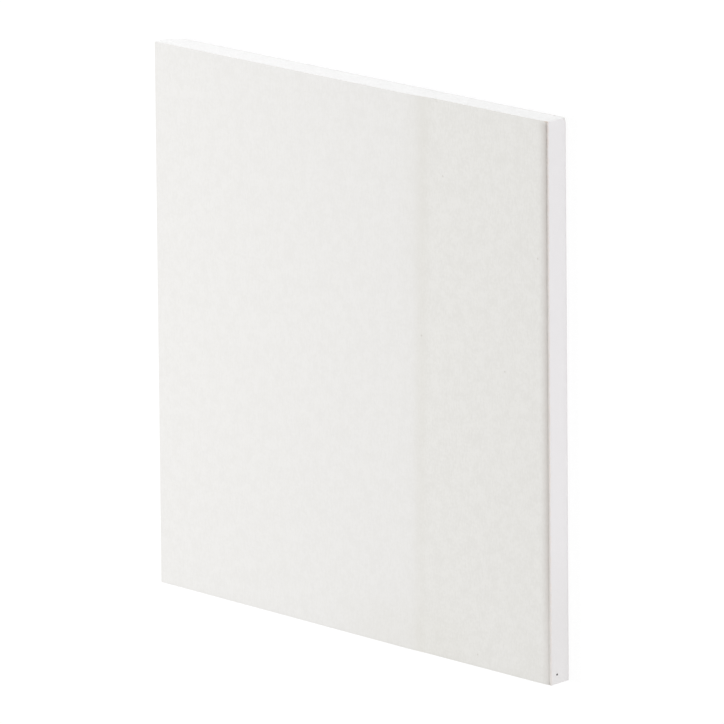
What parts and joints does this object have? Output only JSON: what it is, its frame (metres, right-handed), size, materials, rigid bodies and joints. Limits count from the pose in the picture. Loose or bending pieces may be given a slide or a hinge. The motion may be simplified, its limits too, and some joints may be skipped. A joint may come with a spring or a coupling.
{
  "type": "drywall sheet",
  "caption": "Flat rectangular piece of gypsum drywall with a tapered, paper-wrapped factory edge, for lining walls and ceilings.",
  "frame": {"origin": "middle of the back, which lies on the floor", "axes": "+X across the sheet towards the tapered factory edge, +Y along the sheet, +Z out of the face"},
  "size_m": [0.23, 0.235, 0.0125],
  "materials": {
    "board_paper": "matte"
  },
  "bodies": {
    "root": {"gypsum_board": "board_paper"}
  },
  "joints": []
}
